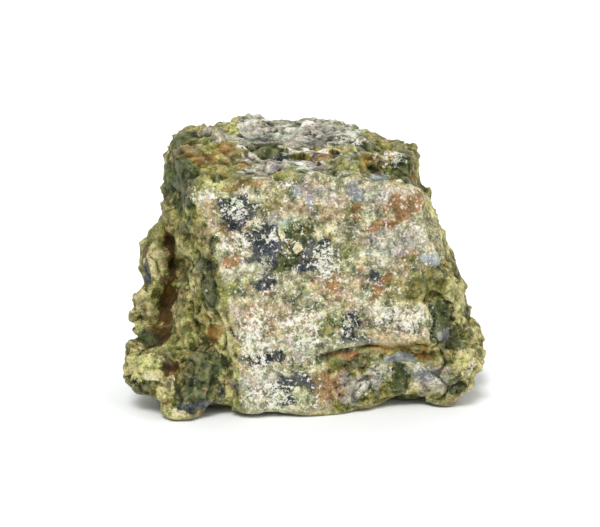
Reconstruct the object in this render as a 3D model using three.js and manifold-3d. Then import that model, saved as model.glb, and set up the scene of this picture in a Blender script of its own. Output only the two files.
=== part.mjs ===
// A rough block of green rhyolite, as broken from the outcrop and set down on its base.
//
// The stone is one solid. It is described as a distance function: fracture faces cut a convex block, lumps and
// ledges are joined to it, hollows and steps are cut out of it, and a rough break is laid over the whole.
// A sphere of triangles is then drawn down onto that surface, and the underside is trimmed flat where it rests.
//
// Millimetres, +Z up. The broad pale face looks along -Y, the hollowed side along -X.
// The origin is at the middle of the stone's box, on the surface that it stands on.

import * as THREE from 'three';
import { ImprovedNoise } from 'three/addons/math/ImprovedNoise.js';
import { mergeVertices } from 'three/addons/utils/BufferGeometryUtils.js';
import Module from 'manifold-3d';

// Driving dimensions
const FRONT = -47; // the broad face, at its foot
const BACK = 54;
const LEFT = -78; // the widest points of the two sides
const RIGHT = 83;
const CREST = 114; // the top of the stone
const BROW = 100; // the upper edge of the broad face
const LEDGE_LINE = 27; // the lip above the recess at the foot of the broad face
const REST = -1.5; // the plane that the stone stands on

// Wear and rough break, laid over the whole surface: broad waves, then knobs with creases between them
const EDGE_WEAR = 4; // how far the edges between fracture faces are rounded
const BLOCK_WEAR = 3.5; // how far the edges of a ledge or a step are rounded
const WAVES = [
  { wave: 42, height: 3.6, seed: 3 },
  { wave: 21, height: 2.6, seed: 17 },
];
const KNOB_SIZE = 15;
const KNOB_HEIGHT = 6;
const KNOB_MEAN = 0.55; // the mean distance to the nearest knob, in knob sizes
const BROAD_FACE_CALM = 0.35; // the broad face breaks cleaner than the sides
const CALM_REACH = 9; // how near the broad face the break calms down

// Mesh
const SKIN_DETAIL = 20; // 20 * (detail + 1)^2 triangles
const SKIN_RADIUS = 140;
const HEART = new THREE.Vector3(6, 12, 50); // the skin shrinks towards this point
const HEART_SIZE = 2; // and never nearer to it than this
const SHRINK_ROUNDS = 60;
const SHRINK_STEP = 0.6; // the part of the distance that one round covers
const SETTLE_ROUNDS = 70;
const SETTLE_STEP = 0.5;
const RETURN_STEP = 0.8;
const SLOPE_STEP = 0.4; // how far apart the slope of the surface is measured
const COLOUR = '#8d8a62';

// Fracture faces of the block: an outward normal and a point on each face
const FACES = {
  broad: { normal: [0.1, -0.985, 0.12], through: [-13, FRONT, 5] },
  brow: { normal: [0.05, -0.3, 0.955], through: [-12, FRONT + 11, BROW] },
  top: { normal: [0.02, -0.06, 0.998], through: [-4, 16, CREST] },
  topLeft: { normal: [-0.24, -0.14, 0.96], through: [-44, -5, CREST - 4] },
  topRight: { normal: [0.27, -0.06, 0.96], through: [26, 14, CREST - 4] },
  rightUpper: { normal: [0.93, -0.15, 0.335], through: [63.5, -25, 62] },
  rightLower: { normal: [0.9, -0.1, 0.436], through: [RIGHT + 1, -10, 20] },
  leftFront: { normal: [-0.83, -0.547, -0.05], through: [-43, -38, 93] },
  finUpper: { normal: [-0.8, -0.05, 0.6], through: [-72, 5, 59] },
  finLower: { normal: [-0.975, -0.05, -0.16], through: [-72, 5, 59] },
  back: { normal: [0.08, 0.985, 0.16], through: [0, BACK, 40] },
  backLeft: { normal: [-0.72, 0.68, 0.16], through: [-58, 34, 50] },
  backRight: { normal: [0.72, 0.66, 0.2], through: [60, 34, 50] },
  backTop: { normal: [-0.1, 0.62, 0.78], through: [-6, 40, CREST - 10] },
};

// The underside, cut last
const UNDERSIDE = {
  under: { normal: [0, 0, -1], through: [0, 0, REST + 0.5] },
  leftUnder: { normal: [-0.45, 0.1, -0.89], through: [LEFT, -18, 13] },
  rightUnder: { normal: [0.9, -0.15, -0.4], through: [RIGHT, -5, 15] },
  backUnder: { normal: [0.05, 0.62, -0.78], through: [0, BACK - 8, 6] },
};

// Masses joined to the block: centre, half-sizes, turn in degrees, and how softly they merge
const LUMPS = {
  foot: { at: [-57, -24, 12], half: [21, 20, 11], turn: [0, 14, 24], merge: 6 },
  footShelf: { block: true, at: [-66, -18, 14], half: [11, 12, 6], turn: [0, 6, 20], merge: 4 },
  footToe: { at: [-51, -47, 3], half: [10, 10, 10], turn: [0, 0, 10], merge: 3 },
  footLump: { at: [-40, -42, 14], half: [10, 9, 13], turn: [0, -10, 0], merge: 3 },
  finKnob: { block: true, at: [-65.5, 3, 36], half: [9.5, 9, 9], turn: [0, 32, 8], merge: 3 },
  column: { block: true, at: [-45, -10, 94], half: [10, 16, 14], turn: [0, -4, 24], merge: 5 },
  columnCap: { at: [-44, -4, 107], half: [11, 12, 6], turn: [0, -14, 0], merge: 4 },
  crestLeft: { block: true, at: [-23, 16, 111], half: [8, 9, 4], turn: [0, -6, 12], merge: 4 },
  crestRight: { block: true, at: [7, 12, 111], half: [8, 10, 4.5], turn: [0, 12, -8], merge: 4 },
  ledge: { block: true, at: [29, 4, 98.5], half: [20.5, 22, 7.5], turn: [0, 10, -7], merge: 4 },
  shoulder: { block: true, at: [38, -16, 85], half: [14, 14, 10], turn: [0, 4, 10], merge: 4 },
  crust: { block: true, at: [64, -10, 34], half: [9, 16, 20], turn: [0, -25, 6], merge: 4 },
  terrace: { block: true, at: [54.5, 6, 56], half: [8, 14, 9], turn: [0, -14, -8], merge: 4 },
  rightHip: { at: [63.5, 4, 15], half: [15, 20, 14], turn: [0, 0, 12], merge: 6 },
  lip: { at: [32, FRONT + 7, LEDGE_LINE + 2], half: [27, 5, 4], turn: [0, 1, 6], merge: 4 },
  recessBelly: { at: [28, -33, 9], half: [17, 9, 10], turn: [0, 0, 6], merge: 4 },
  agate: { at: [53, -30, 12], half: [14, 10, 11], turn: [0, 10, 8], merge: 3 },
  backLump: { at: [-22, 44, 28], half: [26, 15, 22], turn: [0, 0, 12], merge: 8 },
};

// Hollows and steps cut out of the block, in the same terms
const HOLLOWS = {
  sideHollow: { block: true, at: [-73, -27, 51], half: [17, 23, 30], turn: [4, -6, 4], merge: 3 },
  sideThroat: { at: [-54, -10, 50], half: [8, 10, 25], turn: [0, -6, 20], merge: 3 },
  sideCave: { at: [-62, -8, 24.5], half: [19, 15, 4.5], turn: [0, -4, 15], merge: 3 },
  finNotch: { at: [-76, 2, 49], half: [8, 16, 3.5], turn: [0, 25, 0], merge: 2 },
  footGroove: { at: [-30, -52, 12], half: [5, 9, 24], turn: [0, -12, 0], merge: 5 },
  shelf: { block: true, at: [30, -44, 107], half: [46, 24, 8], turn: [-10, 6, 8], merge: 3 },
  topCrevice: { at: [-9, -19, 108], half: [17, 6, 6], turn: [-18, 8, 12], merge: 4 },
  ledgeNotch: { at: [56, -13, 95], half: [11, 16, 4.5], turn: [0, 8, 10], merge: 3 },
  recess: { at: [42, -50, 7], half: [40, 15, LEDGE_LINE - 6], turn: [4, -1, 6], merge: 2 },
  rightGroove: { at: [62, -36, 39], half: [7, 8, 14], turn: [0, -20, 0], merge: 4 },
  backScoop: { at: [20, 62, 64], half: [32, 14, 28], turn: [0, 15, 0], merge: 6 },
  backShelf: { block: true, at: [-36, 56, 104], half: [26, 14, 10], turn: [8, 6, 10], merge: 4 },
};

const noise = new ImprovedNoise();
const radians = THREE.MathUtils.degToRad;
const vector = (xyz) => new THREE.Vector3(...xyz);

// Distance blending: two surfaces merge over the width k
function fillet(a, b, k) {
  const near = Math.max(k - Math.abs(a - b), 0) / k;
  return (near * near * k) / 4;
}
const join = (a, b, k) => Math.min(a, b) - fillet(a, b, k);
const meet = (a, b, k) => Math.max(a, b) + fillet(a, b, k);
const cut = (a, b, k) => meet(a, -b, k);

function planeOf({ normal, through }) {
  return new THREE.Plane().setFromNormalAndCoplanarPoint(vector(normal).normalize(), vector(through));
}

// Puts a feature's centre and turn into one matrix that brings a point into the feature's own axes
function placed({ block, at, half, turn, merge }) {
  const spin = new THREE.Euler(...turn.map(radians));
  const toOwn = new THREE.Matrix4().makeRotationFromEuler(spin).setPosition(...at).invert();
  return { toOwn, half: vector(half), merge, distance: block ? toBlock : toEllipsoid };
}

// Approximate distance to an ellipsoid
function toEllipsoid(point, { toOwn, half }) {
  const own = point.clone().applyMatrix4(toOwn).divide(half);
  const reach = own.length();
  return (reach * (reach - 1)) / own.divide(half).length();
}

// Distance to a block with worn edges
function toBlock(point, { toOwn, half }) {
  const own = point.clone().applyMatrix4(toOwn);
  const over = new THREE.Vector3(Math.abs(own.x), Math.abs(own.y), Math.abs(own.z));
  over.sub(half).addScalar(BLOCK_WEAR);
  const inside = Math.min(Math.max(over.x, over.y, over.z), 0);
  return inside + over.max(new THREE.Vector3()).length() - BLOCK_WEAR;
}

const faces = Object.values(FACES).map(planeOf);
const underside = Object.values(UNDERSIDE).map(planeOf);
const lumps = Object.values(LUMPS).map(placed);
const hollows = Object.values(HOLLOWS).map(placed);
const broadFace = planeOf(FACES.broad);

// Repeatable scatter: a number from 0 to 1 for each whole-number cell, by the usual sine hash
function scatter(i, j, k, seed) {
  const wild = Math.sin(i * 127.1 + j * 311.7 + k * 74.7 + seed * 53.3) * 43758.5453;
  return wild - Math.floor(wild);
}

// Distance from a point to the nearest of the knobs' centres, in knob sizes
function toNearestKnob(point) {
  const [x, y, z] = point.toArray().map((c) => c / KNOB_SIZE);
  const [cx, cy, cz] = [x, y, z].map(Math.floor);
  let nearest = Infinity;
  for (let i = cx - 1; i <= cx + 1; i++) {
    for (let j = cy - 1; j <= cy + 1; j++) {
      for (let k = cz - 1; k <= cz + 1; k++) {
        const dx = i + scatter(i, j, k, 1) - x;
        const dy = j + scatter(i, j, k, 2) - y;
        const dz = k + scatter(i, j, k, 3) - z;
        nearest = Math.min(nearest, dx * dx + dy * dy + dz * dz);
      }
    }
  }
  return Math.sqrt(nearest);
}

function breakHeight(point) {
  const nearBroad = THREE.MathUtils.smoothstep(-broadFace.distanceToPoint(point), 0, CALM_REACH);
  const amount = THREE.MathUtils.lerp(BROAD_FACE_CALM, 1, nearBroad);
  let height = KNOB_HEIGHT * (KNOB_MEAN - toNearestKnob(point));
  for (const { wave, height: top, seed } of WAVES) {
    height += top * noise.noise(point.x / wave + seed, point.y / wave, point.z / wave);
  }
  return amount * height;
}

function stoneDistance(point) {
  let d = -Infinity;
  for (const face of faces) d = meet(d, face.distanceToPoint(point), EDGE_WEAR);
  for (const lump of lumps) d = join(d, lump.distance(point, lump), lump.merge);
  for (const hollow of hollows) d = cut(d, hollow.distance(point, hollow), hollow.merge);
  for (const face of underside) d = meet(d, face.distanceToPoint(point), EDGE_WEAR);
  return d - breakHeight(point);
}

function stoneNormal(point) {
  const across = (axis) => {
    const ahead = point.clone().addScaledVector(axis, SLOPE_STEP);
    const behind = point.clone().addScaledVector(axis, -SLOPE_STEP);
    return stoneDistance(ahead) - stoneDistance(behind);
  };
  const axes = [new THREE.Vector3(1, 0, 0), new THREE.Vector3(0, 1, 0), new THREE.Vector3(0, 0, 1)];
  return new THREE.Vector3(...axes.map(across)).normalize();
}

// Position-only geometry with its shared points merged
function merged(geometry) {
  geometry.deleteAttribute('normal');
  geometry.deleteAttribute('uv');
  return mergeVertices(geometry);
}

// The skin: a sphere of triangles, drawn in along its rays until it meets the stone
function wrappedSkin() {
  const skin = merged(new THREE.IcosahedronGeometry(SKIN_RADIUS, SKIN_DETAIL));
  const position = skin.getAttribute('position');
  const points = Array.from({ length: position.count }, (_, i) =>
    drawnIn(new THREE.Vector3().fromBufferAttribute(position, i).normalize()),
  );
  settle(points, skin.index.array);
  points.forEach((point, i) => position.setXYZ(i, point.x, point.y, point.z));
  return skin;
}

function drawnIn(ray) {
  let reach = SKIN_RADIUS;
  const at = () => HEART.clone().addScaledVector(ray, reach);
  for (let round = 0; round < SHRINK_ROUNDS; round++) {
    reach = Math.max(reach - SHRINK_STEP * stoneDistance(at()), HEART_SIZE);
  }
  return at();
}

// Evens the triangles out along the surface, and keeps every point on it: far neighbours pull hardest
function settle(points, triangles) {
  const neighbours = points.map(() => new Set());
  for (let i = 0; i < triangles.length; i += 3) {
    const [a, b, c] = triangles.slice(i, i + 3);
    neighbours[a].add(b).add(c);
    neighbours[b].add(a).add(c);
    neighbours[c].add(a).add(b);
  }
  for (let round = 0; round < SETTLE_ROUNDS; round++) {
    const moved = points.map((point, i) => {
      const mean = new THREE.Vector3();
      let pull = 0;
      neighbours[i].forEach((j) => {
        const weight = point.distanceToSquared(points[j]);
        mean.addScaledVector(points[j], weight);
        pull += weight;
      });
      return point.clone().lerp(mean.divideScalar(pull), SETTLE_STEP);
    });
    moved.forEach((point, i) => {
      points[i] = point.addScaledVector(stoneNormal(point), -RETURN_STEP * stoneDistance(point));
    });
  }
}

// Trims the underside to the plane that the stone stands on
async function trimmed(skin) {
  const wasm = await Module();
  wasm.setup();
  const solidOf = (geometry) =>
    new wasm.Manifold(
      new wasm.Mesh({
        numProp: 3,
        vertProperties: geometry.getAttribute('position').array,
        triVerts: new Uint32Array(geometry.index.array),
      }),
    );
  const slab = new THREE.BoxGeometry(2 * SKIN_RADIUS, 2 * SKIN_RADIUS, SKIN_RADIUS);
  slab.translate(0, 0, REST - SKIN_RADIUS / 2);
  const mesh = solidOf(skin).subtract(solidOf(merged(slab))).getMesh();
  const geometry = new THREE.BufferGeometry();
  geometry.setAttribute('position', new THREE.BufferAttribute(mesh.vertProperties, 3));
  geometry.setIndex(new THREE.BufferAttribute(mesh.triVerts, 1));
  return geometry;
}

const stone = await trimmed(wrappedSkin());
stone.computeVertexNormals();
stone.computeBoundingBox();
const middle = stone.boundingBox.getCenter(new THREE.Vector3());

const rhyolite = new THREE.Mesh(
  stone,
  new THREE.MeshStandardMaterial({ color: COLOUR, roughness: 0.85, metalness: 0, flatShading: true }),
);
rhyolite.name = 'rhyolite_block';
rhyolite.position.set(-middle.x, -middle.y, -REST);

const model = new THREE.Group();
model.add(rhyolite);

export default model;
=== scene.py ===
"""A rough block of rhyolite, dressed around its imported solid.

The solid gives the stone its form. This script copies it into a dense mesh and works the small relief into it.
It then lays out the stone's minerals as soft fields and paints them with one procedural material.
"""

import math

import bmesh
import bpy
import numpy as np
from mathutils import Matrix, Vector, noise
from mathutils.bvhtree import BVHTree


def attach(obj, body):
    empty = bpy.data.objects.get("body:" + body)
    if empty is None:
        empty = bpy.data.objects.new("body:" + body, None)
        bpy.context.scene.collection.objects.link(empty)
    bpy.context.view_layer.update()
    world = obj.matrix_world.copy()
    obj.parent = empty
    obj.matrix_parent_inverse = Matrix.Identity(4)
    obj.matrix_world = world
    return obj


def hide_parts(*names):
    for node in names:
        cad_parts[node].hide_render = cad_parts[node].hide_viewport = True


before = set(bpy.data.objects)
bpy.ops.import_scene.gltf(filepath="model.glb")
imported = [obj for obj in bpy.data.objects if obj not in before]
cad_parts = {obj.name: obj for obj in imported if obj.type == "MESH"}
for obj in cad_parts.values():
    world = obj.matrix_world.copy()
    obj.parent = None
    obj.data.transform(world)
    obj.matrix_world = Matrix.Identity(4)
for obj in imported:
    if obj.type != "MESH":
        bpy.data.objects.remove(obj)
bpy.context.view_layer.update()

# The photograph's view: sizes in pixels, lens in millimetres, places in metres
PHOTO_WIDTH = 600
PHOTO_HEIGHT = 527
LENS = 85.0
SENSOR = 36.0
VIEW_DISTANCE = 0.621
VIEW_ELEVATION = math.radians(12)
LOOK_AT = Vector((-0.0056, -0.0047, 0.0562))
FOCAL_PIXELS = LENS / SENSOR * PHOTO_WIDTH
MM = 0.001
MM_PER_PIXEL = VIEW_DISTANCE / FOCAL_PIXELS / MM
VIEW_RIGHT = Vector((1, 0, 0))
VIEW_UP = Vector((0, math.sin(VIEW_ELEVATION), math.cos(VIEW_ELEVATION)))
VIEW_BACK = Vector((0, -math.cos(VIEW_ELEVATION), math.sin(VIEW_ELEVATION)))

# The dense mesh, in millimetres
VOXEL = 0.75
WELD = 0.01
SOFTEN_ROUNDS = 8
TRIANGLES = 190000
BASE_CLEAR = 0.6
BASE_FADE = 3.5
TERRACE_DIP = np.array((0.22, -0.18, 1.0))

# The relief: size of each kind of break, and how far it stands out or cuts in, in millimetres
RELIEF = {
    "dust": (1.6, 0.25),
    "ripples": (3.6, 0.35),
    "face_swell": (12, 0.4),
    "grains": (4.6, 0.9),
    "hidden_facets": (30, 2.2),
    "facets": (15, 1.5),
    "chips": (6.5, 0.9),
    "splinters": (2.9, 0.5),
    "wax_ribs": (4.5, 0.35),
    "ledges": (6.5, 1.1),
    "treads": (3.0, 0.7),
    "flakes": (6.0, 2.2),
    "pits": (8, 1.5),
    "cracks": (14, 1.8),
}
GRAIN_SINK = 0.6
BREAK_SINK = 1.0
FLAKE_LIFT = 0.8

# How much calmer the waxy places and the crest are, and how ribs and flakes are drawn out along x, y and z
WAX_CALM = 0.9
WAX_FINE_CALM = 0.6
CREST_CALM = 0.45
WAX_STRETCH = np.array((1, 1, 0.25))
FLAKE_STRETCH = np.array((0.4, 0.9, 1.2))

# Where the crest is pale: its grey fades in and out between these places along x, in millimetres
PALE_LEFT = (-40, -26)
PALE_RIGHT = (14, 32)

# Factors that give each chip a tilt and a height of its own, and how sharp the edges between chips are
CHIP_TILT = (91.7, 37.3)
CHIP_LIFT = 57.1
CHIP_SHARPNESS = 5

# The broad face as the photograph shows it: the pixels of its outline, and how far its edge wanders
FACE_OUTLINE = (
    (196, 191), (232, 186), (270, 178), (330, 172), (395, 176), (424, 184), (438, 220), (448, 258),
    (430, 270), (400, 300), (432, 304), (436, 340), (372, 345), (322, 357), (330, 412), (243, 414),
    (236, 350), (228, 300), (216, 250),
)
FACE_EDGE = 5.0
FACE_WANDER = 6.0

# The floor and the backdrop that it curves up into, in metres
FLOOR_HALF = 4.0
SWEEP_START = 1.0
SWEEP_RADIUS = 0.5
SWEEP_STEPS = 12

# The minerals: darkest and lightest colour in sRGB, how matt, how ragged at the edge, how much it covers
MINERALS = {
    "straw": ((134, 126, 68), (226, 219, 154), 0.8, 3.0, 0.97),
    "olive": ((74, 75, 28), (160, 156, 84), 0.75, 3.4, 0.85),
    "pink": ((136, 110, 78), (208, 185, 144), 0.85, 3.6, 0.6),
    "lavender": ((120, 116, 106), (212, 206, 190), 0.8, 3.6, 0.8),
    "green": ((18, 27, 10), (98, 107, 60), 0.6, 2.6, 1.0),
    "rust": ((114, 83, 45), (176, 135, 87), 0.75, 3.0, 0.97),
    "ochre": ((92, 64, 18), (176, 134, 62), 0.55, 2.6, 0.85),
    "flame": ((136, 76, 16), (208, 136, 50), 0.5, 1.7, 1.0),
    "umber": ((38, 26, 4), (106, 74, 22), 0.35, 1.6, 1.0),
    "slate": ((84, 90, 91), (178, 183, 182), 0.4, 2.4, 0.92),
    "charcoal": ((20, 24, 27), (88, 94, 96), 0.6, 3.2, 1.0),
    "cream": ((188, 174, 122), (236, 228, 192), 0.85, 1.4, 1.0),
}

# Minerals whose colour changes in blots rather than in specks
WAXY = ("umber", "ochre", "slate")

# Where each mineral shows in the photograph: pixel across and down, half width and height, turn in degrees
MARKS = {
    "straw": {
        "right_crust": (461, 296, 18, 28),
        "right_edge": (476, 334, 8, 14),
        "right_foot": (469, 362, 14, 20),
        "left_foot": (143, 366, 24, 18),
        "knob": (143, 304, 12, 14),
        "eye_rim": (218, 178, 12, 8),
        "fin_face": (157, 262, 12, 20),
        "knob_low": (142, 324, 10, 6),
        "rib_outer": (177, 294, 4, 17),
        "rib_inner": (192, 288, 4, 12),
        "column_edge": (167, 163, 6, 12),
        "toe": (165, 390, 9, 14),
        "toe_tip": (174, 413, 11, 5),
        "right_brow": (429, 206, 7, 24),
        "strip_low": (228, 376, 10, 36),
        "strip_middle": (227, 328, 9, 16),
        "strip_top": (198, 230, 7, 10),
        "crest_right": (345, 148, 20, 5),
    },
    "olive": {
        "right_zone": (416, 283, 30, 15),
        "brow_shelf": (288, 176, 17, 6),
        "brow_left": (222, 168, 26, 12),
        "shelf": (348, 165, 22, 9),
        "upper_spot": (345, 217, 8, 8),
        "middle_spot": (347, 247, 5, 14),
        "low_ledge": (348, 362, 20, 8),
        "strip_spot": (228, 286, 9, 9),
        "right_spot": (411, 258, 9, 8),
        "recess_left": (340, 372, 12, 8),
        "crescent_side": (331, 324, 8, 14),
        "blotch_side": (275, 207, 9, 6),
        "fin_top": (156, 234, 10, 16),
        "strip_high": (199, 240, 12, 24),
        "right_pocket_side": (466, 344, 10, 8),
        "ledge_top": (388, 146, 16, 6),
    },
    "pink": {
        "left_brow": (212, 206, 10, 13),
        "under_blotch": (224, 238, 18, 14),
        "middle": (290, 212, 22, 9),
        "right_of_spots": (336, 206, 16, 16),
        "right_upper": (402, 196, 24, 12),
        "low_middle": (332, 388, 18, 18),
        "strip_edge": (241, 366, 5, 18),
        "below_centre": (276, 318, 30, 18),
        "right_middle": (342, 290, 22, 16),
        "under_patch": (395, 339, 32, 7),
        "right_low": (395, 270, 16, 10),
    },
    "lavender": {
        "right_field": (394, 240, 28, 14),
        "right_upper": (384, 196, 18, 9),
        "low_grey": (303, 350, 12, 8),
        "brow_streak": (265, 169, 18, 6, 12),
        "cap_side": (254, 133, 12, 9),
        "crest_middle": (330, 128, 22, 7),
        "crest_plates": (292, 138, 20, 8),
        "crest_left": (220, 133, 20, 9),
        "low_band": (260, 382, 24, 12),
        "agate_floor": (438, 386, 18, 10),
        "recess_grey": (350, 388, 16, 14),
        "recess_pale": (378, 374, 13, 14),
        "agate_wall": (426, 372, 20, 12),
        "blotch_right": (272, 224, 18, 10),
        "face_top": (318, 194, 22, 9),
    },
    "green": {
        "column_facet": (180, 177, 18, 32),
        "column_low": (178, 201, 9, 10),
        "column_side": (170, 180, 9, 26),
        "column_top": (186, 148, 10, 8),
        "column_cap": (184, 135, 11, 7),
        "eye": (218, 179, 7, 4),
        "strip_pit_high": (192, 205, 5, 7),
        "strip_pit_low": (190, 221, 6, 6),
        "strip_pit_right": (213, 246, 5, 8),
        "strip_band": (203, 264, 13, 8),
        "strip_low": (208, 292, 8, 16),
        "crest_back": (266, 152, 20, 7),
        "ledge_dark": (367, 148, 13, 8),
        "ledge_end": (407, 158, 11, 12),
        # Painted shade: dark green laid under the ledge's overhang
        "ledge_under_shade": (404, 174, 11, 6),
        "right_pocket": (441, 322, 13, 21),
        "right_pocket_low": (452, 343, 13, 8),
        "foot_lump": (205, 372, 20, 32),
        "foot_lump_low": (189, 393, 18, 12),
        # Painted shade: dark green laid along the recess roof under the lip
        "recess_roof_shade": (352, 363, 16, 5),
        "between_patches": (398, 380, 8, 16),
        "recess_end": (404, 398, 12, 8),
        "right_low": (459, 384, 10, 12),
        # Partly the stone's dark green, partly painted shade in the cave under the knob
        "cave": (158, 336, 24, 10),
        "centre": (302, 244, 17, 20),
        "centre_low": (290, 262, 14, 9),
    },
    "rust": {
        "upper_right": (405, 208, 17, 14),
        "right_streak": (380, 227, 17, 6, 15),
        "strip": (380, 285, 6, 17, -35),
        "red_spot": (270, 290, 5, 5),
        "strip_side": (230, 262, 8, 6),
        "middle_spot": (333, 280, 6, 9),
        "ledge_left": (340, 355, 17, 4),
        "low_patch": (325, 388, 15, 11),
        "brow_red": (421, 197, 6, 6),
        "spots_side": (356, 214, 8, 9),
        "shoulder": (388, 222, 12, 6),
    },
    "ochre": {
        "column_band": (183, 150, 11, 8),
        "crest_left": (205, 158, 12, 8),
        "crest_low": (243, 164, 8, 5),
        "crest_bank": (226, 150, 9, 4),
        "brow_line": (238, 186, 20, 3, 8),
        "strip_edge": (214, 337, 8, 11),
        "toe": (167, 399, 4, 5),
        "ledge_shelf": (378, 159, 15, 5),
        "shoulder": (413, 178, 4, 5),
        "crest_gap": (322, 157, 14, 4),
        "lip": (400, 347, 32, 3),
        "lip_knot": (426, 353, 9, 6),
        "right_corner": (448, 262, 5, 7),
    },
    "flame": {
        "hollow_patch": (203, 322, 18, 21),
        "hollow_strip_outer": (185, 288, 7, 20),
        "hollow_strip_inner": (198, 287, 6, 15, -8),
        "hollow_strip_low": (191, 314, 8, 14),
        "fin_block": (167, 281, 9, 9),
        "fin_edge": (165, 248, 3, 10),
        "knob_rim": (135, 318, 8, 8),
        "knob_top": (150, 291, 5, 4),
        "foot_streak": (181, 357, 11, 4, 25),
        "foot_rim": (126, 372, 4, 6),
        "cave_rim": (152, 335, 7, 3),
        "column_foot": (168, 208, 8, 14),
    },
    "umber": {
        "fin_tip": (144, 249, 6, 6),
        "column_band": (180, 150, 8, 6),
        "hollow_wall": (166, 302, 11, 24),
        "hollow_wall_low": (171, 322, 10, 12),
        "hollow_strip": (168, 232, 6, 22),
        "foot_wax": (170, 364, 9, 9),
        # Partly the waxy umber, partly painted shade in the cave under the knob
        "cave_floor_shade": (166, 334, 20, 9),
        "hollow_middle": (171, 262, 4, 16),
    },
    "slate": {
        "agate": (428, 374, 14, 8),
        "ledge_underside": (402, 357, 17, 5),
        "right_patch": (434, 259, 13, 6),
        "pocket_spot": (444, 335, 6, 5),
        "brow_spot": (379, 178, 10, 5),
        "brow_spot_low": (352, 190, 9, 8),
        "face_spot_high": (299, 191, 4, 7),
        "face_spot_low": (309, 204, 4, 8),
        "face_spot_right": (358, 200, 7, 4),
    },
    "charcoal": {
        "upper_left": (238, 210, 17, 17),
        "centre_left": (264, 244, 16, 22),
        "centre_foot": (256, 256, 15, 5, 20),
        "centre_right": (318, 258, 13, 15),
        "centre_base": (303, 268, 13, 4),
        "below_centre": (268, 280, 12, 8),
        "diamond": (374, 275, 6, 8),
        "crescent": (350, 326, 9, 17, -15),
        "crescent_foot": (362, 340, 11, 5),
        "low_streak": (293, 384, 20, 10, 12),
        "low_streak_under": (285, 398, 14, 5),
        "low_specks": (264, 358, 22, 7),
        "fin_rim": (148, 272, 4, 12),
        "foot_underside": (197, 406, 22, 5),
        "crest_spot": (240, 136, 5, 5),
        "crest_crack": (266, 140, 12, 3),
        # Painted shade: a dark line laid along a crevice on the crest
        "crest_cave_shade": (283, 159, 12, 3),
        "crest_shade": (318, 140, 9, 8),
    },
    "cream": {
        "centre_chip": (296, 248, 4, 6),
        "centre_chip_side": (283, 236, 3, 4),
        "agate_spot": (417, 383, 3, 3),
        "toe_pebble": (166, 384, 6, 5),
        "toe_tip": (177, 411, 6, 4),
        "foot_ring": (172, 376, 2.5, 2.5),
        "foot_edge": (150, 378, 8, 4),
        "recess_patch": (382, 368, 6, 8),
        "agate_rim": (414, 364, 8, 3, -15),
    },
    "crust": {
        "brow": (203, 195, 18, 5),
        "blotch": (234, 209, 12, 12),
        "under_blotch": (236, 244, 18, 14),
        "crescent": (347, 326, 7, 14),
        "centre": (272, 236, 9, 9),
        "right_of_centre": (330, 262, 18, 18),
        "right_patch": (398, 319, 36, 15),
        "low_left": (268, 396, 32, 18),
        "low_middle": (304, 328, 26, 22),
        "left_middle": (256, 340, 18, 36),
        "ledge_specks": (397, 166, 9, 5),
        "ledge": (393, 157, 16, 10),
        "right_foot": (472, 366, 6, 8),
        "agate": (432, 380, 12, 8),
        "cap": (247, 122, 14, 4),
        "crest_right": (352, 140, 18, 5),
        "recess_patch": (382, 369, 11, 14),
        "recess_patch_low": (365, 385, 12, 7),
        "agate_spot": (416, 383, 3.5, 3.5),
        "agate_rim": (418, 367, 9, 6),
    },
}

# How far a mark's field reaches, and how deep it goes, in times the mark's half sizes
FIELD_REACH = 1.5
MARK_DEPTH = 1.6

# Minerals on the sides that the photograph doesn't show: patch size in millimetres, noise shift, share
WILD = {
    "straw": (34, 61.0, 0.42),
    "olive": (40, 67.0, 0.4),
    "green": (36, 71.0, 0.22),
    "ochre": (22, 73.0, 0.04),
    "rust": (20, 79.0, 0.0),
    "lavender": (32, 83.0, 0.14),
    "charcoal": (18, 89.0, -0.06),
    "crust": (26, 97.0, 0.06),
}

# The paint's finish: gloss, bump, stretch of the crest's streaks, hue noise as size in millimetres and share
GLOSS = 0.15
BUMP_STRENGTH = 0.65
BUMP_HEIGHT = 0.9
STREAK_STRETCH = (0.3, 0.6, 1.3)
HUE_NOISE = ((3.2, 0.28), (11.0, 0.2))
GRIT_COLOUR = (84, 84, 74)
# Painted shade that darkens the hollows and painted highlight that lightens the proud edges, with how much of
# each shows and the bulge in millimetres at which each is full
PAINTED_SHADE_COLOUR = (34, 32, 16)
PAINTED_SHADE_SHARE = 0.8
PAINTED_HIGHLIGHT_COLOUR = (214, 208, 170)
PAINTED_HIGHLIGHT_SHARE = 0.25
BULGE_FULL = 0.9

# The light: direction it comes from, strength and spread in degrees of each sun, then the sky and the floor
SUNS = {
    "key": ((-0.15, -0.55, 0.85), 2.1, 25),
    "fill": ((0.7, -0.4, 0.6), 0.8, 60),
    "back": ((-0.1, 0.75, 0.7), 0.6, 60),
}
SKY_COLOUR = (0.96, 0.98, 1.0, 1)
SKY_STRENGTH = 0.38
FLOOR_COLOUR = (0.94, 0.95, 0.955, 1)
FLOOR_MATT = 0.7

# Places that broke smooth and waxy rather than rough, in the same pixels
SMOOTH_PLACES = {
    "fin": (154, 258, 15, 42),
    "hollow": (169, 290, 14, 46),
    "column": (183, 178, 13, 24),
    "cave": (160, 338, 22, 8),
    "pocket": (441, 320, 10, 16),
    "agate": (428, 378, 24, 16),
}

# Places with a grain of small lumps, in the same pixels
GRAINY_PLACES = {
    "foot": (145, 365, 26, 24),
    "toe": (166, 395, 14, 24),
    "knob": (143, 306, 14, 18),
    "strip": (200, 235, 16, 30),
    "crust": (462, 298, 20, 34),
    "right_foot": (468, 360, 20, 26),
    "recess": (352, 384, 22, 20),
    "ledge": (395, 158, 22, 14),
}

# Pushes that deepen the hollows: pixel, reach and depth in millimetres
HOLLOWS = {
    "slot": (167, 226, 4, 4.0),
    "hollow_high": (169, 242, 5, 6.0),
    "hollow_middle": (172, 264, 5, 4.0),
    "hollow_low": (168, 302, 9, 5.0),
    "cave": (162, 337, 7, 6.0),
}

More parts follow.
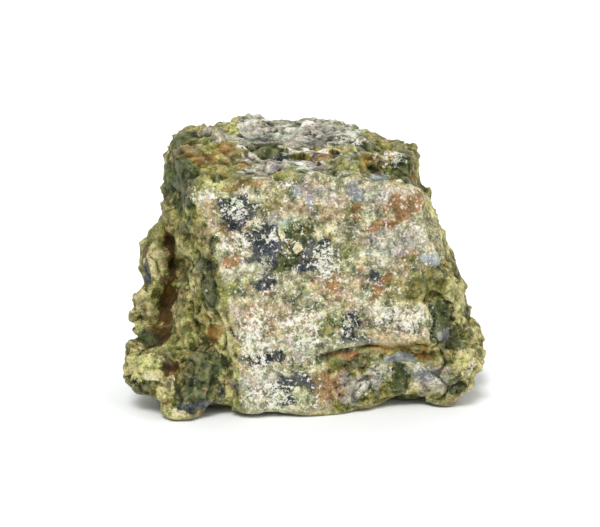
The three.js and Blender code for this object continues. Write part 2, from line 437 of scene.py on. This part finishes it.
# Pushes that fit the outline to the photograph's: pixel, reach, then the move right and up, in pixels
OUTLINE_PUSHES = {
    "top_left": (216, 129, 14, (0, 7)),
    "column_top": (180, 137, 11, (-2, 4)),
    "ledge_top": (389, 129, 13, (0, -11)),
    "ledge_end": (421, 153, 9, (-4, 0)),
    "shoulder": (424, 184, 8, (-5, 0)),
    "brow_end": (452, 248, 12, (-8, 0)),
    "crust_top": (458, 284, 10, (5, 0)),
    "right_edge": (490, 341, 14, (-9, 0)),
    "right_foot": (484, 374, 14, (-11, 2)),
    "right_base": (466, 394, 12, (0, 4)),
    "fin_top": (143, 239, 11, (7, 0)),
    "fin_notch": (138, 286, 13, (10, 0)),
    "knob": (136, 320, 10, (-9, -6)),
    "cave_side": (144, 328, 8, (-10, 0)),
    "crest_left": (229, 117, 8, (0, -5)),
    "crest_gap": (270, 117, 8, (0, -4)),
    "crest_middle": (296, 114, 10, (0, -6)),
    "ledge_tip": (412, 142, 7, (-2, -5)),
    "crust_edge": (478, 316, 8, (-5, 0)),
    "foot_top": (134, 350, 12, (-6, 8)),
    "toe": (152, 404, 9, (6, 0)),
}

# Grooves worked into the stone: depth and half width in millimetres, then the pixels along each groove
GROOVES = {
    "crest_step": (2.2, 1.6, ((262, 158), (284, 160), (300, 157), (318, 162))),
    "crest_crack": (2.0, 1.2, ((252, 150), (266, 140), (280, 141))),
    "ledge_step": (2.4, 1.6, ((372, 168), (392, 176), (408, 181))),
    "hollow_rib_outer": (2.2, 1.3, ((184, 272), (186, 288), (183, 306))),
    "hollow_rib_inner": (1.8, 1.1, ((199, 276), (197, 296), (194, 312))),
    "hollow_rib_low": (2.0, 1.3, ((190, 302), (191, 318), (196, 330))),
    "fin_crack": (1.8, 0.7, ((149, 257), (156, 263), (160, 274))),
    "recess_line": (2.6, 1.7, ((322, 358), (345, 352), (372, 347), (400, 352), (416, 361))),
    "recess_right": (2.2, 1.5, ((416, 361), (432, 357), (452, 344))),
    "crust_crack": (2.4, 0.9, ((455, 276), (459, 298), (466, 312), (470, 322))),
    "crust_crack_low": (1.8, 0.8, ((452, 318), (462, 326), (472, 340))),
    "pocket_edge": (1.6, 1.2, ((428, 302), (437, 318), (433, 338))),
    "strip_edge": (1.6, 1.6, ((206, 262), (214, 288), (212, 312), (222, 345), (234, 400))),
    "foot_crease": (1.8, 1.2, ((150, 352), (168, 346), (186, 349), (204, 338))),
    "toe_crease": (1.8, 1.2, ((176, 384), (180, 398), (177, 412))),
}


def smooth_step(values, low, high):
    """0 below low, 1 above high, with a smooth rise between."""
    share = np.clip((values - low) / (high - low), 0, 1)
    return share * share * (3 - 2 * share)


def waves(points, size, shift=0.0):
    """Rolling noise from -1 to 1, with waves about size mm long. The shift keeps noises apart."""
    return np.array([noise.noise(place) for place in (points / size + shift).tolist()])


def rough_waves(points, size, octaves, shift=0.0):
    """Noise with finer waves added on the broad ones."""
    places = (points / size + shift).tolist()
    return np.array([noise.fractal(place, 0.8, 2.1, octaves) for place in places])


def cells(points, size, shift=0.0):
    """How far each point is from the nearest cell middle and from the nearest cell wall, in cell sizes."""
    reach = np.array([noise.voronoi(place)[0][:2] for place in (points / size + shift).tolist()])
    return reach[:, 0], reach[:, 1] - reach[:, 0]


def chips(points, size, shift=0.0):
    """Flat broken facets about size millimetres across, from about -1 to 1."""
    places = points / size + shift
    found = [noise.voronoi(place) for place in places.tolist()]
    reach = np.array([each[0] for each in found])
    middles = np.array([each[1] for each in found])
    tilt = np.sin(CHIP_TILT[0] * np.roll(middles, 1, axis=2) + CHIP_TILT[1] * middles)
    height = np.sum((places[:, None, :] - middles) * tilt, axis=2)
    height = height + 0.5 * np.sin(CHIP_LIFT * middles.sum(axis=2))
    weight = (reach[:, 3:] - reach) ** CHIP_SHARPNESS + 1e-9
    return np.sum(height * weight, axis=1) / np.sum(weight, axis=1)


def terraces(points, pitch, shift=0.0):
    """Flat treads and steep risers that follow the stone's height, from about -1 to 1."""
    level = points @ TERRACE_DIP / pitch
    level = level + 1.6 * waves(points, 17, shift)
    level = level + 0.8 * waves(points, 5, shift + 3)
    share = level - np.floor(level)
    return 2.4 * (smooth_step(share, 0.3, 0.7) - share)


def dense_copy(node):
    """A new object with the node's form in an even mesh of small faces."""
    mesh = node.data.copy()
    welded = bmesh.new()
    welded.from_mesh(mesh)
    bmesh.ops.remove_doubles(welded, verts=welded.verts, dist=WELD * MM)
    welded.to_mesh(mesh)
    welded.free()
    stone = bpy.data.objects.new("rhyolite_stone", mesh)
    bpy.context.scene.collection.objects.link(stone)
    remesh = stone.modifiers.new("even_faces", "REMESH")
    remesh.mode = "VOXEL"
    remesh.voxel_size = VOXEL * MM
    dense = bpy.data.meshes.new_from_object(stone.evaluated_get(bpy.context.evaluated_depsgraph_get()))
    stone.modifiers.clear()
    stone.data = dense
    return stone


def read_points(mesh):
    """The mesh's points in millimetres."""
    flat = np.empty(len(mesh.vertices) * 3)
    mesh.vertices.foreach_get("co", flat)
    return flat.reshape(-1, 3) / MM


def write_points(mesh, points):
    mesh.vertices.foreach_set("co", (points * MM).ravel())
    mesh.update()


def read_normals(mesh):
    flat = np.empty(len(mesh.vertices) * 3)
    mesh.vertex_normals.foreach_get("vector", flat)
    return flat.reshape(-1, 3)


def read_edges(mesh):
    flat = np.empty(len(mesh.edges) * 2, dtype=np.int64)
    mesh.edges.foreach_get("vertices", flat)
    return flat.reshape(-1, 2)


def soften(points, edges, rounds):
    """Each point moved towards the middle of its neighbours, several times over."""
    first, second = edges[:, 0], edges[:, 1]
    neighbours = np.bincount(edges.ravel(), minlength=len(points))[:, None]
    for _ in range(rounds):
        total = np.empty_like(points)
        for axis in range(3):
            total[:, axis] = np.bincount(first, points[second, axis], len(points))
            total[:, axis] += np.bincount(second, points[first, axis], len(points))
        points = 0.4 * points + 0.6 * total / neighbours
    return points


class Photo:
    """Finds the places on the stone that the photograph's pixels show."""

    def __init__(self, mesh):
        faces = [tuple(face.vertices) for face in mesh.polygons]
        self.surface = BVHTree.FromPolygons([point.co for point in mesh.vertices], faces)
        self.eye = LOOK_AT + VIEW_BACK * VIEW_DISTANCE

    def place(self, across, down):
        """The point of the stone under a pixel, or the nearest to it, in millimetres."""
        aim = VIEW_RIGHT * (across - PHOTO_WIDTH / 2) + VIEW_UP * (PHOTO_HEIGHT / 2 - down)
        aim = (aim - VIEW_BACK * FOCAL_PIXELS).normalized()
        hit = self.surface.ray_cast(self.eye, aim)[0]
        if hit is None:
            hit = self.surface.find_nearest(self.eye + aim * VIEW_DISTANCE)[0]
        return np.array(hit) / MM


def mark_field(points, photo, marks):
    """1 inside any of the marks, falling to 0 outside, one value for each point."""
    right, up, back = (np.array(axis) for axis in (VIEW_RIGHT, VIEW_UP, VIEW_BACK))
    field = np.zeros(len(points))
    for across, down, half_width, half_height, *turn in marks.values():
        offset = points - photo.place(across, down)
        angle = math.radians(turn[0]) if turn else 0.0
        along = offset @ (right * math.cos(angle) + up * math.sin(angle))
        aside = offset @ (up * math.cos(angle) - right * math.sin(angle))
        deep = offset @ back
        sizes = np.array((half_width, half_height, MARK_DEPTH * max(half_width, half_height))) * MM_PER_PIXEL
        reach = np.sqrt((along / sizes[0]) ** 2 + (aside / sizes[1]) ** 2 + (deep / sizes[2]) ** 2)
        field = np.maximum(field, np.clip(FIELD_REACH - reach, 0, 1))
    return field


def in_pixels(points):
    """Where each point shows in the photograph: pixels across and down."""
    offset = points * MM - np.array(LOOK_AT + VIEW_BACK * VIEW_DISTANCE)
    scale = -FOCAL_PIXELS / (offset @ np.array(VIEW_BACK))
    across = PHOTO_WIDTH / 2 + scale * (offset @ np.array(VIEW_RIGHT))
    down = PHOTO_HEIGHT / 2 - scale * (offset @ np.array(VIEW_UP))
    return across, down


def push_form(points, photo):
    """The points with each named push applied."""
    moved = points.copy()
    for across, down, reach, depth in HOLLOWS.values():
        gap = np.linalg.norm(points - photo.place(across, down), axis=1)
        moved -= np.exp(-((gap / reach) ** 2))[:, None] * depth * np.array(VIEW_BACK)
    shown_across, shown_down = in_pixels(points)
    for across, down, reach, (right, up) in OUTLINE_PUSHES.values():
        gap = np.hypot(shown_across - across, shown_down - down)
        move = np.array(VIEW_RIGHT * right + VIEW_UP * up) * MM_PER_PIXEL
        moved += np.exp(-((gap / reach) ** 2))[:, None] * move
    return moved


def groove_depth(points, photo):
    """How deep the named grooves cut at each point, in millimetres."""
    total = np.zeros(len(points))
    for depth, half_width, pixels in GROOVES.values():
        route = [photo.place(*pixel) for pixel in pixels]
        nearest = np.full(len(points), np.inf)
        for start, end in zip(route, route[1:]):
            run = end - start
            share = np.clip((points - start) @ run / (run @ run), 0, 1)
            gap = np.linalg.norm(points - start - share[:, None] * run, axis=1)
            nearest = np.minimum(nearest, gap)
        total = np.maximum(total, depth * np.exp(-((nearest / half_width) ** 2)))
    return total


def outline_share(points):
    """How far inside the broad face's outline each point shows in the photograph, in pixels."""
    across, down = in_pixels(points)
    nearest = np.full(len(points), np.inf)
    inside = np.zeros(len(points), dtype=bool)
    for (x0, y0), (x1, y1) in zip(FACE_OUTLINE, FACE_OUTLINE[1:] + FACE_OUTLINE[:1]):
        run_x, run_y = x1 - x0, y1 - y0
        share = np.clip(((across - x0) * run_x + (down - y0) * run_y) / (run_x ** 2 + run_y ** 2), 0, 1)
        nearest = np.minimum(nearest, np.hypot(across - x0 - share * run_x, down - y0 - share * run_y))
        if run_y:
            inside ^= ((y0 > down) != (y1 > down)) & (across < x0 + (down - y0) * run_x / run_y)
    return np.where(inside, nearest, -nearest)


def regions(points, normals):
    """Soft masks for the parts of the stone that broke in different ways."""
    inside = outline_share(points) + FACE_WANDER * waves(points, 9, 31.0)
    face = smooth_step(inside, -FACE_EDGE, FACE_EDGE) * smooth_step(-normals[:, 1], 0.15, 0.45)
    crest = smooth_step(points[:, 2], 88, 98) * smooth_step(normals[:, 2], 0.1, 0.5) * (1 - face)
    right = smooth_step(points[:, 0], 44, 54) * smooth_step(-points[:, 2], -74, -60) * (1 - face)
    seen = smooth_step(normals @ np.array(VIEW_BACK), -0.05, 0.2)
    return {"face": face, "crest": crest, "right": right, "seen": seen}


def relief(points, kind, shape, shift=0.0):
    """How far one kind of break stands out at each point, in millimetres."""
    size, height = RELIEF[kind]
    return height * shape(points, size, shift)


def grains(points, photo, zone):
    """Small lumps, in the named places and in some patches elsewhere."""
    size, height = RELIEF["grains"]
    grainy = mark_field(points, photo, GRAINY_PLACES) * zone["seen"] * (1 - zone["crest"])
    grainy = np.maximum(grainy, 0.5 * smooth_step(waves(points, 24, 41.0), 0.15, 0.4))
    bent = points + 0.8 * waves(points, 3, 43.0)[:, None]
    wall = cells(bent, size, 45.0)[1]
    return grainy * (height * smooth_step(wall, 0, 0.35) - GRAIN_SINK)


def crest_ledges(points, zone):
    """Thin broken ledges and flakes on the top."""
    size, height = RELIEF["flakes"]
    stepped = zone["crest"] * smooth_step(waves(points, 20, 51.0), -0.25, 0.15)
    steps = relief(points, "ledges", terraces, 15.0) + relief(points, "treads", terraces, 17.0)
    flakes = FLAKE_LIFT - height * np.abs(waves(points * FLAKE_STRETCH, size, 19.0))
    return stepped * steps + zone["crest"] * flakes


def pits(points):
    """Round pits, in patches."""
    size, depth = RELIEF["pits"]
    pitted = smooth_step(waves(points, 18, 9.0), 0.05, 0.3)
    return pitted * depth * smooth_step(-cells(points, size, 2.0)[0], -0.3, -0.08)


def cracks(points, zone):
    """Cracks between blocks, on the part of the right side that the photograph shows."""
    size, depth = RELIEF["cracks"]
    bent = points + 2.0 * waves(points, 7, 47.0)[:, None]
    wall = cells(bent, size, 4.0)[1]
    cracked = zone["right"] * zone["seen"] * smooth_step(waves(points, 15, 49.0), -0.2, 0.2)
    return cracked * depth * smooth_step(-wall, -0.11, -0.02)


def work_relief(mesh, photo):
    """Breaks the smooth form into grains, chips, pits, plates and cracks."""
    points = read_points(mesh)
    normals = read_normals(mesh)
    zone = regions(points, normals)
    calm = mark_field(points, photo, SMOOTH_PLACES)
    rough = (1 - zone["face"]) * (1 - WAX_CALM * calm) * (1 - CREST_CALM * zone["crest"])
    raised = relief(points, "dust", waves) + relief(points, "ripples", waves, 7.0)
    raised *= 1 - WAX_FINE_CALM * calm
    swell_size, swell = RELIEF["face_swell"]
    raised += swell * zone["face"] * rough_waves(points, swell_size, 3, 3.0)
    raised += rough * grains(points, photo, zone)
    raised += rough * (1 - zone["seen"]) * relief(points, "hidden_facets", chips, 53.0)
    broken = relief(points, "facets", chips, 11.0) + relief(points, "chips", chips, 5.0)
    broken += relief(points, "splinters", chips, 9.0)
    raised += rough * (broken - BREAK_SINK)
    raised += calm * relief(points * WAX_STRETCH, "wax_ribs", waves, 13.0)
    raised += crest_ledges(points, zone)
    raised -= rough * pits(points)
    raised -= cracks(points, zone)
    raised -= groove_depth(points, photo)
    kept = smooth_step(points[:, 2], BASE_CLEAR, BASE_FADE)
    moved = points + normals * (raised * kept)[:, None]
    moved[:, 2] = np.maximum(moved[:, 2], 0)
    write_points(mesh, moved)


def thin_out(stone):
    """Fewer triangles, kept where the surface bends most."""
    faces = sum(len(face.vertices) - 2 for face in stone.data.polygons)
    collapse = stone.modifiers.new("fewer_faces", "DECIMATE")
    collapse.ratio = TRIANGLES / faces
    thinned = bpy.data.meshes.new_from_object(stone.evaluated_get(bpy.context.evaluated_depsgraph_get()))
    stone.modifiers.clear()
    stone.data = thinned


def wild_field(points, size, shift, share):
    """Patches of a mineral for the sides that the photograph doesn't show."""
    return smooth_step(rough_waves(points, size, 3, shift), 0.35 - share, 0.75 - share)


def store(mesh, name, values):
    layer = mesh.attributes.new(name, "FLOAT", "POINT")
    layer.data.foreach_set("value", values.astype(np.float32))


def lay_minerals(mesh, photo):
    """Stores one soft field for each mineral on the mesh, with ragged edges."""
    points = read_points(mesh)
    zone = regions(points, read_normals(mesh))
    ragged = points.copy()
    for axis in range(3):
        shift = 5 * axis
        ragged[:, axis] += 2.4 * waves(points, 9, 20.0 + shift) + 1.0 * waves(points, 3.2, 40.0 + shift)
    hidden = 1 - zone["seen"]
    for name, marks in MARKS.items():
        field = mark_field(ragged, photo, marks)
        if name in WILD:
            field = np.maximum(field, hidden * wild_field(points, *WILD[name]))
        store(mesh, name, field)
    store(mesh, "face", zone["face"])
    across = points[:, 0]
    pale = smooth_step(across, *PALE_LEFT) * (1 - smooth_step(across, *PALE_RIGHT))
    store(mesh, "crest", zone["crest"] * pale)


def store_shade(mesh):
    """Stores how hollow or how proud each point is, for painted shade in the pits and painted highlights on the
    edges.
    """
    points = read_points(mesh)
    bulge = np.sum((points - soften(points, read_edges(mesh), 14)) * read_normals(mesh), axis=1)
    store(mesh, "painted_pit_shade", np.clip(-bulge / BULGE_FULL, 0, 1))
    store(mesh, "painted_edge_highlight", np.clip(bulge / BULGE_FULL, 0, 1))


def paint(red, green, blue):
    """An sRGB colour, 0 to 255, as the linear colour that a node takes."""
    shares = [value / 255 for value in (red, green, blue)]
    linear = [share / 12.92 if share <= 0.04045 else ((share + 0.055) / 1.055) ** 2.4 for share in shares]
    return (*linear, 1.0)


class Graph:
    """A material's node tree, with a short call for each kind of node."""

    def __init__(self, material):
        material.use_nodes = True
        self.tree = material.node_tree
        self.tree.nodes.clear()

    def add(self, kind, inputs=None, **settings):
        made = self.tree.nodes.new(kind)
        for name, value in settings.items():
            setattr(made, name, value)
        for key, value in (inputs or {}).items():
            if isinstance(value, bpy.types.NodeSocket):
                self.tree.links.new(value, made.inputs[key])
            else:
                made.inputs[key].default_value = value
        return made

    def field(self, name):
        return self.add("ShaderNodeAttribute", attribute_name=name).outputs["Fac"]

    def math(self, operation, first, second):
        return self.add("ShaderNodeMath", {0: first, 1: second}, operation=operation).outputs[0]

    def scaled(self, value, share):
        return self.math("MULTIPLY", value, share)

    def grain(self, place, size, detail=3.0, roughness=0.6, distortion=0.0):
        """Noise from 0 to 1 with waves about size millimetres long."""
        inputs = {
            "Vector": place,
            "Scale": 1 / size,
            "Detail": detail,
            "Roughness": roughness,
            "Distortion": distortion,
        }
        return self.add("ShaderNodeTexNoise", inputs).outputs["Fac"]

    def step(self, value, low, high):
        inputs = {"Value": value, "From Min": low, "From Max": high}
        return self.add("ShaderNodeMapRange", inputs, interpolation_type="SMOOTHSTEP").outputs["Result"]

    def ramp(self, value, stops):
        """Colours along a value, given as (position, colour) from low to high."""
        made = self.add("ShaderNodeValToRGB", {"Fac": value})
        elements = made.color_ramp.elements
        while len(elements) < len(stops):
            elements.new(0.5)
        for element, (position, colour) in zip(elements, stops):
            element.position = position
            element.color = paint(*colour)
        return made.outputs["Color"]

    def mix(self, share, first, second, blend="MIX"):
        inputs = {0: share, 6: first, 7: second}
        return self.add("ShaderNodeMix", inputs, data_type="RGBA", blend_type=blend).outputs[2]

    def blend(self, share, first, second):
        return self.add("ShaderNodeMix", {0: share, 2: first, 3: second}, data_type="FLOAT").outputs[0]


def rhyolite_material():
    """Speckled ground colours, then each mineral in its field, then crust, painted shade in the pits and
    painted highlights on the edges.
    """
    material = bpy.data.materials.new("rhyolite")
    graph = Graph(material)
    object_place = graph.add("ShaderNodeTexCoord").outputs["Object"]
    place = graph.add("ShaderNodeVectorMath", {0: object_place, 3: 1 / MM}, operation="SCALE").outputs[0]
    speckle = graph.grain(place, 3.2, 6.0, 0.74, 0.15)
    fine = graph.grain(place, 0.9, 3.0, 0.7)
    flecks = graph.grain(place, 1.8, 5.0, 0.74, 0.2)
    blots = graph.grain(place, 8.0, 4.0, 0.65)
    broad = graph.grain(place, 26.0, 3.0, 0.6)
    dissolve = [graph.grain(place, size, 6.0, 0.72, 0.2) for size in (2.6, 3.6, 5.0)]

    pink_stops = (
        (0.37, (76, 75, 58)),
        (0.45, (136, 131, 102)),
        (0.50, (165, 159, 126)),
        (0.55, (190, 185, 152)),
        (0.63, (232, 229, 206)),
    )
    beige_stops = (
        (0.37, (70, 72, 52)),
        (0.45, (128, 126, 90)),
        (0.50, (158, 154, 111)),
        (0.55, (185, 180, 134)),
        (0.63, (230, 226, 188)),
    )
    side_stops = (
        (0.38, (32, 36, 12)),
        (0.45, (80, 79, 32)),
        (0.50, (122, 117, 57)),
        (0.55, (162, 155, 90)),
        (0.62, (210, 204, 148)),
    )
    crest_stops = (
        (0.40, (58, 60, 50)),
        (0.46, (122, 121, 102)),
        (0.50, (158, 157, 138)),
        (0.54, (194, 193, 177)),
        (0.60, (236, 235, 224)),
    )
    patches = graph.grain(place, 6.0, 3.0, 0.6)
    face_value = graph.math("ADD", graph.scaled(speckle, 0.8), graph.scaled(patches, 0.4))
    face_value = graph.math("SUBTRACT", face_value, 0.1)
    face_colour = graph.mix(
        graph.step(blots, 0.45, 0.55), graph.ramp(face_value, pink_stops), graph.ramp(face_value, beige_stops)
    )
    side_value = graph.math("ADD", graph.scaled(speckle, 0.6), graph.scaled(broad, 0.4))
    side_colour = graph.ramp(side_value, side_stops)
    wander = graph.math("MULTIPLY", graph.math("SUBTRACT", blots, 0.5), 1.6)
    on_crest = graph.step(graph.math("ADD", graph.field("crest"), wander), 0.4, 0.8)
    stretch = {0: place, 1: STREAK_STRETCH}
    drawn_out = graph.add("ShaderNodeVectorMath", stretch, operation="MULTIPLY").outputs[0]
    streaks = graph.grain(drawn_out, 3.6, 6.0, 0.7, 0.6)
    side_colour = graph.mix(on_crest, side_colour, graph.ramp(streaks, crest_stops))
    ground = graph.step(graph.math("ADD", graph.field("face"), wander), 0.3, 0.7)
    colour = graph.mix(ground, side_colour, face_colour)
    matt = graph.blend(ground, 0.62, 0.86)

    for turn, (name, (dark, light, mineral_matt, specks, cover)) in enumerate(MINERALS.items()):
        ragged = graph.math("MULTIPLY", graph.math("SUBTRACT", dissolve[turn % 3], 0.5), specks)
        value = graph.math("ADD", graph.field(name), graph.math("ADD", ragged, wander))
        shown = graph.math("MULTIPLY", graph.step(value, 0.45, 0.57), cover)
        mineral = graph.ramp(blots if name in WAXY else speckle, ((0.38, dark), (0.62, light)))
        colour = graph.mix(shown, colour, mineral)
        matt = graph.blend(shown, matt, mineral_matt)

    grit = graph.math("MULTIPLY", graph.step(dissolve[0], 0.6, 0.68), graph.field("face"))
    colour = graph.mix(graph.math("MULTIPLY", grit, 0.7), colour, paint(*GRIT_COLOUR))
    density = graph.math("MAXIMUM", graph.field("crust"), graph.scaled(graph.field("face"), 0.5))
    crust = graph.step(graph.math("ADD", flecks, graph.math("MULTIPLY", density, 0.19)), 0.66, 0.69)
    crust_colour = graph.ramp(speckle, ((0.4, (200, 194, 164)), (0.55, (240, 238, 224))))
    colour = graph.mix(crust, colour, crust_colour)
    matt = graph.blend(crust, matt, 0.9)

    for size, share in HUE_NOISE:
        inputs = {"Vector": place, "Scale": 1 / size, "Detail": 3.0}
        hues = graph.add("ShaderNodeTexNoise", inputs).outputs["Color"]
        colour = graph.mix(share, colour, hues, "OVERLAY")
    colour = graph.mix(0.3, colour, graph.step(fine, 0.36, 0.64), "OVERLAY")
    # Painted shade: the hollow places darkened towards a dark olive-brown
    painted_pit_shade = graph.math("MULTIPLY", graph.field("painted_pit_shade"), PAINTED_SHADE_SHARE)
    colour = graph.mix(painted_pit_shade, colour, paint(*PAINTED_SHADE_COLOUR))
    # Painted highlight: the proud edges and ridges lightened towards a pale cream
    painted_edge_highlight = graph.math("MULTIPLY", graph.field("painted_edge_highlight"), PAINTED_HIGHLIGHT_SHARE)
    colour = graph.mix(painted_edge_highlight, colour, paint(*PAINTED_HIGHLIGHT_COLOUR))

    height = graph.math("ADD", speckle, graph.math("MULTIPLY", fine, 0.5))
    height = graph.math("ADD", height, graph.math("MULTIPLY", crust, 0.15))
    inputs = {"Strength": BUMP_STRENGTH, "Distance": BUMP_HEIGHT * MM, "Height": height}
    bump = graph.add("ShaderNodeBump", inputs).outputs["Normal"]
    inputs = {"Base Color": colour, "Roughness": matt, "Normal": bump, "Specular IOR Level": GLOSS}
    shader = graph.add("ShaderNodeBsdfPrincipled", inputs)
    graph.add("ShaderNodeOutputMaterial", {"Surface": shader.outputs[0]})
    return material


def plain_material(name, colour, matt):
    material = bpy.data.materials.new(name)
    graph = Graph(material)
    shader = graph.add("ShaderNodeBsdfPrincipled", {"Base Color": colour, "Roughness": matt})
    graph.add("ShaderNodeOutputMaterial", {"Surface": shader.outputs[0]})
    return material


def make_stone():
    """The dressed stone, riding on the frame in place of the plain solid."""
    stone = dense_copy(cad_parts["rhyolite_block"])
    write_points(stone.data, soften(read_points(stone.data), read_edges(stone.data), SOFTEN_ROUNDS))
    write_points(stone.data, push_form(read_points(stone.data), Photo(stone.data)))
    work_relief(stone.data, Photo(stone.data))
    thin_out(stone)
    lay_minerals(stone.data, Photo(stone.data))
    store_shade(stone.data)
    stone.data.materials.clear()
    stone.data.materials.append(rhyolite_material())
    stone.data.shade_smooth()
    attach(stone, "root")
    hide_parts("rhyolite_block")


def make_floor():
    """A pale floor that curves up into a backdrop far behind the stone."""
    profile = [(-FLOOR_HALF, 0.0)]
    for step in range(SWEEP_STEPS + 1):
        angle = math.pi / 2 * step / SWEEP_STEPS
        profile.append((SWEEP_START + SWEEP_RADIUS * math.sin(angle), SWEEP_RADIUS * (1 - math.cos(angle))))
    profile.append((SWEEP_START + SWEEP_RADIUS, FLOOR_HALF))
    points = [(side, y, z) for y, z in profile for side in (-FLOOR_HALF, FLOOR_HALF)]
    faces = [(2 * row, 2 * row + 1, 2 * row + 3, 2 * row + 2) for row in range(len(profile) - 1)]
    mesh = bpy.data.meshes.new("floor")
    mesh.from_pydata(points, [], faces)
    mesh.materials.append(plain_material("floor", FLOOR_COLOUR, FLOOR_MATT))
    mesh.shade_smooth()
    floor = bpy.data.objects.new("floor", mesh)
    bpy.context.scene.collection.objects.link(floor)


def make_sun(name, source, strength, spread):
    """Soft light with no fall-off, from the given direction and spread over that many degrees."""
    light = bpy.data.lights.new(name, "SUN")
    light.energy = strength
    light.angle = math.radians(spread)
    sun = bpy.data.objects.new(name, light)
    sun.rotation_euler = Vector(source).to_track_quat("Z", "Y").to_euler()
    bpy.context.scene.collection.objects.link(sun)


def make_light():
    world = bpy.data.worlds.new("studio")
    world.use_nodes = True
    sky = world.node_tree.nodes["Background"]
    sky.inputs["Color"].default_value = SKY_COLOUR
    sky.inputs["Strength"].default_value = SKY_STRENGTH
    bpy.context.scene.world = world
    for name, sun in SUNS.items():
        make_sun(name, *sun)


def make_camera():
    lens = bpy.data.cameras.new("camera")
    lens.lens = LENS
    lens.sensor_width = SENSOR
    camera = bpy.data.objects.new("camera", lens)
    camera.location = LOOK_AT + VIEW_BACK * VIEW_DISTANCE
    camera.rotation_euler = (-VIEW_BACK).to_track_quat("-Z", "Y").to_euler()
    bpy.context.scene.collection.objects.link(camera)
    bpy.context.scene.camera = camera


make_stone()
make_floor()
make_light()
make_camera()
bpy.context.scene.view_settings.view_transform = "Standard"
